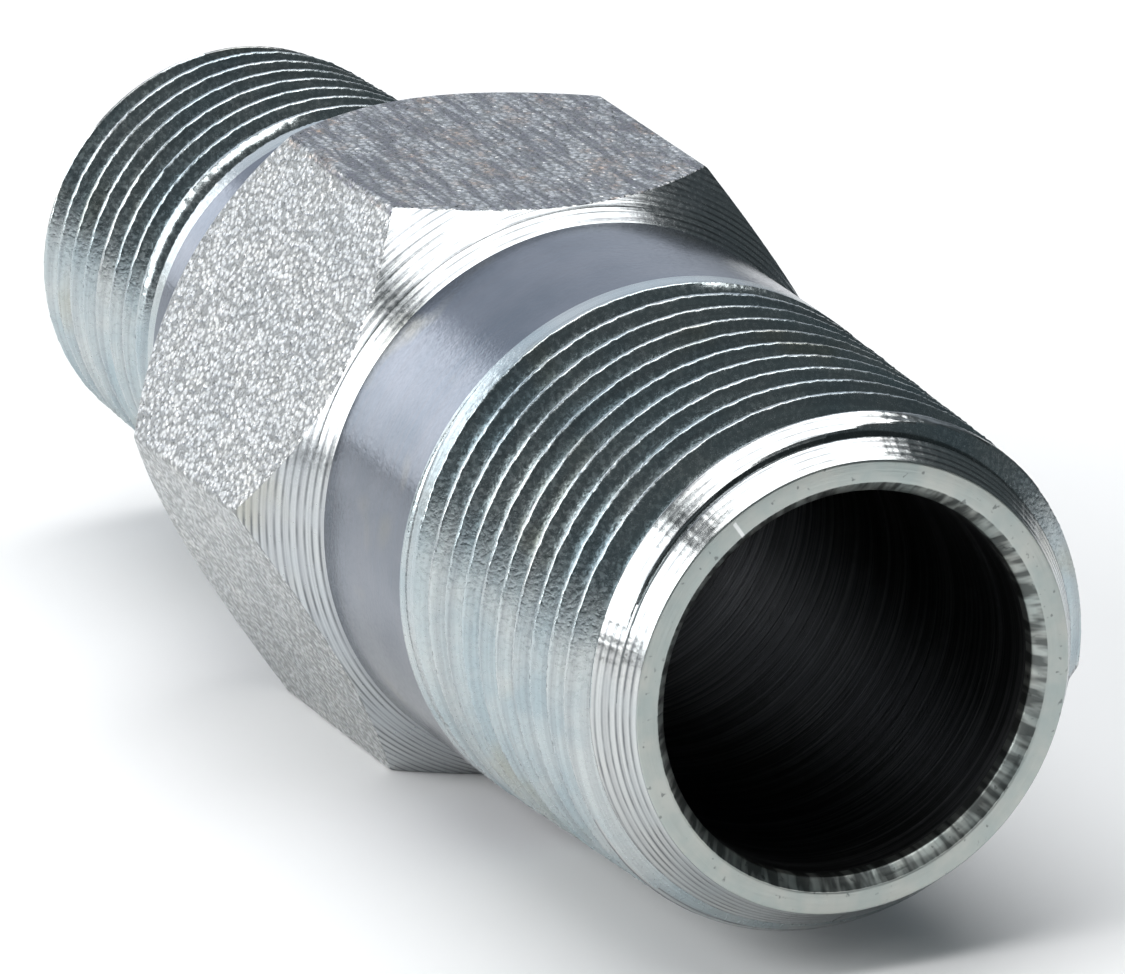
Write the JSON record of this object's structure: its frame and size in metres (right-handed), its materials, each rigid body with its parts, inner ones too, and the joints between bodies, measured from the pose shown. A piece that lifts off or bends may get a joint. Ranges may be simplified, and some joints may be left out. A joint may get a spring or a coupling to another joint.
{
  "type": "hex nipple",
  "caption": "Reducing hex nipple for steel pipe: a hexagon between a larger and a smaller male taper-threaded end, bored through.",
  "frame": {"origin": "on the bore axis at the middle of the hexagon's length", "axes": "+X along the bore towards the larger threaded end, +Z out of one flat of the hexagon, +Y towards a corner of the hexagon"},
  "size_m": [0.0761, 0.033, 0.0286],
  "materials": {
    "hexagon": "zinc plated drawn bar with a fine grain",
    "turned_neck": "zinc plated, turned smooth, bluish passivated",
    "thread": "zinc plated cut thread, faint yellow and green tints"
  },
  "bodies": {
    "root": {"hex_body": "hexagon", "front_neck": "turned_neck", "rear_neck": "turned_neck", "front_thread": "thread", "rear_thread": "thread"}
  },
  "joints": []
}
